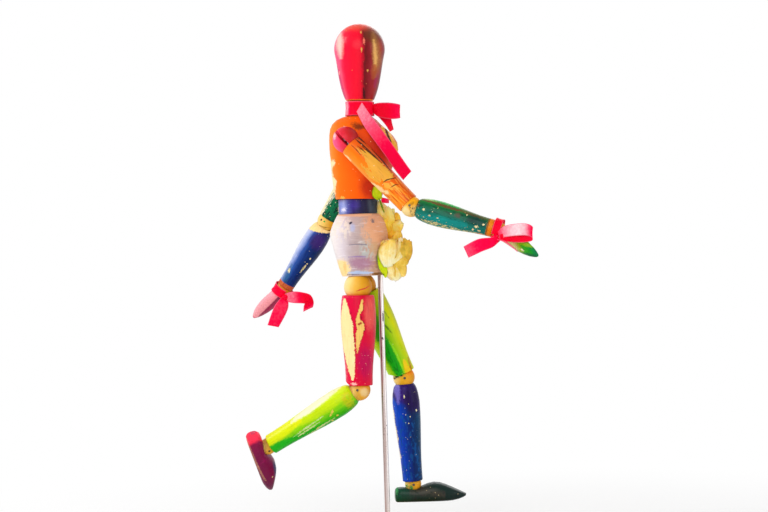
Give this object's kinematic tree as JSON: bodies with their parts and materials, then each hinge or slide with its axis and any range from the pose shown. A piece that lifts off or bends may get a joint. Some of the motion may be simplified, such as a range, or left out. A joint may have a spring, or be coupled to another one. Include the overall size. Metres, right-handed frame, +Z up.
{
  "type": "jointed wooden manikin",
  "caption": "Posable wooden lay figure on a rod and round base, hand-painted, with ball joints, satin ribbon bows and a cloth flower sprig.",
  "frame": {"origin": "centre of the round base's underside", "axes": "+Z up along the support rod; the figure faces -Y; +X is the figure's left side"},
  "size_m": [0.1168, 0.1829, 0.315],
  "materials": {
    "base_wood": "clear satin lacquer on pale turned wood",
    "rod_steel": "thin worn paint over steel rod",
    "steel_wire": "plain spring wire",
    "steel_pin": "dark plain pins",
    "head_paint": "glossy hand-brushed crimson paint on wood",
    "neck_paint": "thin paint on turned wood",
    "chest_paint": "hand-brushed orange paint, worn to the wood in places",
    "waist_paint": "dark blue brushed paint",
    "pelvis_paint": "off-white, lilac and peach brush strokes",
    "ball_yellow": "worn yellow paint on turned wood",
    "shoulder_red": "worn red paint on turned wood",
    "right_upper_arm_paint": "orange paint flaking from yellow",
    "left_upper_arm_paint": "cream and green patches",
    "right_forearm_paint": "dark green to teal paint with chips",
    "left_forearm_paint": "navy paint with chips",
    "right_hand_paint": "green and yellow paint",
    "left_hand_paint": "pink paint",
    "right_thigh_paint": "crimson paint peeling from pale wood",
    "left_thigh_paint": "lime and green strokes",
    "right_shin_paint": "lime and yellow paint with chips",
    "left_shin_paint": "royal blue and purple paint",
    "right_foot_paint": "maroon paint, lighter red heel",
    "left_foot_paint": "very dark green paint",
    "ribbon_satin": "satin ribbon",
    "petal_cloth": "cloth petals, cream to gold",
    "leaf_cloth": "green cloth leaf and stem"
  },
  "bodies": {
    "stand": {"base": "base_wood", "support_rod": "rod_steel"},
    "pelvis": {"pelvis": "pelvis_paint", "pelvis_pin": "steel_pin", "right_hip_spring": "steel_wire", "left_hip_spring": "steel_wire", "flower_sprig": "leaf_cloth", "sprig_tie": "ribbon_satin", "upper_blossom": "petal_cloth", "lower_blossom": "petal_cloth"},
    "waist_piece": {"waist_piece": "waist_paint"},
    "chest": {"chest": "chest_paint", "torso_spring": "steel_wire", "shoulder_spring": "steel_wire", "neck_ribbon": "ribbon_satin"},
    "neck_ball": {"neck_ball": "neck_paint"},
    "head": {"head": "head_paint", "head_pin": "steel_pin"},
    "right_shoulder_ball": {"right_shoulder_ball": "shoulder_red", "right_shoulder_pin": "steel_pin"},
    "right_upper_arm": {"right_upper_arm": "right_upper_arm_paint", "right_upper_arm_spring": "steel_wire"},
    "right_elbow_ball": {"right_elbow_ball": "ball_yellow", "right_elbow_pin": "steel_pin"},
    "right_forearm": {"right_forearm": "right_forearm_paint", "right_wrist_ribbon": "ribbon_satin"},
    "right_wrist_ball": {"right_wrist_ball": "ball_yellow", "right_wrist_pin": "steel_pin"},
    "right_hand": {"right_hand": "right_hand_paint"},
    "right_hip_ball": {"right_hip_ball": "ball_yellow", "right_hip_pin": "steel_pin"},
    "right_thigh": {"right_thigh": "right_thigh_paint", "right_thigh_spring": "steel_wire"},
    "right_knee_ball": {"right_knee_ball": "ball_yellow", "right_knee_pin": "steel_pin"},
    "right_shin": {"right_shin": "right_shin_paint"},
    "right_ankle_ball": {"right_ankle_ball": "ball_yellow", "right_ankle_pin": "steel_pin"},
    "right_foot": {"right_foot": "right_foot_paint"},
    "left_shoulder_ball": {"left_shoulder_ball": "shoulder_red", "left_shoulder_pin": "steel_pin"},
    "left_upper_arm": {"left_upper_arm": "left_upper_arm_paint", "left_upper_arm_spring": "steel_wire"},
    "left_elbow_ball": {"left_elbow_ball": "ball_yellow", "left_elbow_pin": "steel_pin"},
    "left_forearm": {"left_forearm": "left_forearm_paint", "left_wrist_ribbon": "ribbon_satin"},
    "left_wrist_ball": {"left_wrist_ball": "ball_yellow", "left_wrist_pin": "steel_pin"},
    "left_hand": {"left_hand": "left_hand_paint"},
    "left_hip_ball": {"left_hip_ball": "ball_yellow", "left_hip_pin": "steel_pin"},
    "left_thigh": {"left_thigh": "left_thigh_paint", "left_thigh_spring": "steel_wire"},
    "left_knee_ball": {"left_knee_ball": "ball_yellow", "left_knee_pin": "steel_pin"},
    "left_shin": {"left_shin": "left_shin_paint"},
    "left_ankle_ball": {"left_ankle_ball": "ball_yellow", "left_ankle_pin": "steel_pin"},
    "left_foot": {"left_foot": "left_foot_paint"}
  },
  "joints": [
    {"name": "figure_turn", "type": "hinge", "parent": "stand", "child": "pelvis", "pos_m": [0, 0, 0.1], "axis": [0, 0, 1], "continuous": true},
    {"name": "waist_turn", "type": "hinge", "parent": "pelvis", "child": "waist_piece", "pos_m": [0, 0.0117, 0.2012], "axis": [0, 0, 1], "range_deg": [-60, 60], "deforming": ["torso_spring", "flower_sprig", "sprig_tie", "upper_blossom", "lower_blossom"]},
    {"name": "waist_bend", "type": "hinge", "parent": "waist_piece", "child": "chest", "pos_m": [0, 0.0117, 0.19902], "axis": [0.9829, -0.184, 0], "range_deg": [-25, 25], "deforming": ["torso_spring", "flower_sprig", "sprig_tie", "upper_blossom", "lower_blossom"]},
    {"name": "neck_turn", "type": "hinge", "parent": "chest", "child": "neck_ball", "pos_m": [-0.00048, 0.00913, 0.26405], "axis": [-0.0051, -0.0274, 0.9996], "range_deg": [-80, 80], "deforming": ["torso_spring", "neck_ribbon"]},
    {"name": "head_nod", "type": "hinge", "parent": "neck_ball", "child": "head", "pos_m": [-0.00048, 0.00913, 0.26405], "axis": [0.9829, -0.184, 0], "range_deg": [-35, 35], "deforming": ["torso_spring", "neck_ribbon"]},
    {"name": "right_shoulder_swing", "type": "hinge", "parent": "chest", "child": "right_shoulder_ball", "pos_m": [-0.02658, 0.01538, 0.24448], "axis": [0.9829, -0.184, 0], "range_deg": [-110, 30], "deforming": ["shoulder_spring", "neck_ribbon"]},
    {"name": "right_shoulder_raise", "type": "hinge", "parent": "right_shoulder_ball", "child": "right_upper_arm", "pos_m": [-0.02658, 0.01538, 0.24448], "axis": [0.1337, 0.7142, -0.6871], "range_deg": [0, 80], "deforming": ["right_upper_arm_spring", "neck_ribbon"]},
    {"name": "right_elbow_turn", "type": "hinge", "parent": "right_upper_arm", "child": "right_elbow_ball", "pos_m": [-0.03365, -0.02244, 0.20379], "axis": [0.1264, 0.6754, 0.7266], "range_deg": [-60, 60], "deforming": ["right_upper_arm_spring"]},
    {"name": "right_elbow_bend", "type": "hinge", "parent": "right_elbow_ball", "child": "right_forearm", "pos_m": [-0.03365, -0.02244, 0.20379], "axis": [0.9919, -0.0955, -0.0837], "range_deg": [-25, 75]},
    {"name": "right_wrist_turn", "type": "hinge", "parent": "right_forearm", "child": "right_wrist_ball", "pos_m": [-0.0398, -0.07282, 0.18852], "axis": [0.1159, 0.9505, 0.2882], "range_deg": [-60, 60], "deforming": ["right_wrist_ribbon"]},
    {"name": "right_wrist_bend", "type": "hinge", "parent": "right_wrist_ball", "child": "right_hand", "pos_m": [-0.0398, -0.07282, 0.18852], "axis": [0.7264, 0.1168, -0.6773], "range_deg": [-75, 40], "deforming": ["right_wrist_ribbon"]},
    {"name": "right_hip_turn", "type": "hinge", "parent": "pelvis", "child": "right_hip_ball", "pos_m": [-0.0135, 0.0123, 0.1575], "axis": [0, 0, 1], "range_deg": [-40, 20], "deforming": ["right_hip_spring"]},
    {"name": "right_hip_swing", "type": "hinge", "parent": "right_hip_ball", "child": "right_thigh", "pos_m": [-0.0135, 0.0123, 0.1575], "axis": [0.9903, -0.1392, 0], "range_deg": [-25, 35], "deforming": ["right_thigh_spring"]},
    {"name": "right_knee_turn", "type": "hinge", "parent": "right_thigh", "child": "right_knee_ball", "pos_m": [-0.01335, 0.01335, 0.09651], "axis": [-0.0024, -0.0173, 0.9998], "range_deg": [-30, 30], "deforming": ["right_thigh_spring"]},
    {"name": "right_knee_bend", "type": "hinge", "parent": "right_knee_ball", "child": "right_shin", "pos_m": [-0.01335, 0.01335, 0.09651], "axis": [0.9962, -0.0872, 0.0009], "range_deg": [-25, 3.5]},
    {"name": "right_ankle_turn", "type": "hinge", "parent": "right_shin", "child": "right_ankle_ball", "pos_m": [-0.00838, 0.06986, 0.06376], "axis": [-0.0759, -0.8627, 0.5], "range_deg": [-45, 45]},
    {"name": "right_ankle_bend", "type": "hinge", "parent": "right_ankle_ball", "child": "right_foot", "pos_m": [-0.00838, 0.06986, 0.06376], "axis": [0.7906, 0.2535, 0.5574], "range_deg": [-40, 15]},
    {"name": "left_shoulder_swing", "type": "hinge", "parent": "chest", "child": "left_shoulder_ball", "pos_m": [0.02611, 0.00552, 0.24448], "axis": [0.9829, -0.184, 0], "range_deg": [-120, 30], "deforming": ["shoulder_spring", "neck_ribbon"]},
    {"name": "left_shoulder_raise", "type": "hinge", "parent": "left_shoulder_ball", "child": "left_upper_arm", "pos_m": [0.02611, 0.00552, 0.24448], "axis": [-0.1532, -0.8187, -0.5534], "range_deg": [0, 80], "deforming": ["left_upper_arm_spring", "neck_ribbon"]},
    {"name": "left_elbow_turn", "type": "hinge", "parent": "left_upper_arm", "child": "left_elbow_ball", "pos_m": [0.03658, 0.03497, 0.19802], "axis": [-0.1871, -0.5258, 0.8298], "range_deg": [-60, 60], "deforming": ["left_upper_arm_spring"]},
    {"name": "left_elbow_bend", "type": "hinge", "parent": "left_elbow_ball", "child": "left_forearm", "pos_m": [0.03658, 0.03497, 0.19802], "axis": [0.8333, -0.5322, -0.1494], "range_deg": [-50, 45]},
    {"name": "left_wrist_turn", "type": "hinge", "parent": "left_forearm", "child": "left_wrist_ball", "pos_m": [0.04863, 0.06551, 0.15641], "axis": [-0.2273, -0.5763, 0.785], "range_deg": [-60, 60], "deforming": ["left_wrist_ribbon"]},
    {"name": "left_wrist_bend", "type": "hinge", "parent": "left_wrist_ball", "child": "left_hand", "pos_m": [0.04863, 0.06551, 0.15641], "axis": [0.7103, -0.6495, -0.2711], "range_deg": [-75, 45], "deforming": ["left_wrist_ribbon"]},
    {"name": "left_hip_turn", "type": "hinge", "parent": "pelvis", "child": "left_hip_ball", "pos_m": [0.0135, 0.0123, 0.1575], "axis": [0, 0, 1], "range_deg": [-15, 40], "deforming": ["left_hip_spring"]},
    {"name": "left_hip_swing", "type": "hinge", "parent": "left_hip_ball", "child": "left_thigh", "pos_m": [0.0135, 0.0123, 0.1575], "axis": [0.9659, 0.2588, 0], "range_deg": [-35, 25], "deforming": ["left_thigh_spring"]},
    {"name": "left_knee_turn", "type": "hinge", "parent": "left_thigh", "child": "left_knee_ball", "pos_m": [0.01967, -0.01072, 0.10135], "axis": [-0.1011, 0.3774, 0.9205], "range_deg": [-30, 30], "deforming": ["left_thigh_spring"]},
    {"name": "left_knee_bend", "type": "hinge", "parent": "left_knee_ball", "child": "left_shin", "pos_m": [0.01967, -0.01072, 0.10135], "axis": [0.9878, 0.1485, 0.0476], "range_deg": [-45, 40]},
    {"name": "left_ankle_turn", "type": "hinge", "parent": "left_shin", "child": "left_ankle_ball", "pos_m": [0.02332, -0.01404, 0.03603], "axis": [-0.0557, 0.0507, 0.9972], "range_deg": [-45, 45]},
    {"name": "left_ankle_bend", "type": "hinge", "parent": "left_ankle_ball", "child": "left_foot", "pos_m": [0.02332, -0.01404, 0.03603], "axis": [0.9878, 0.1485, 0.0476], "range_deg": [-30, 20]}
  ]
}
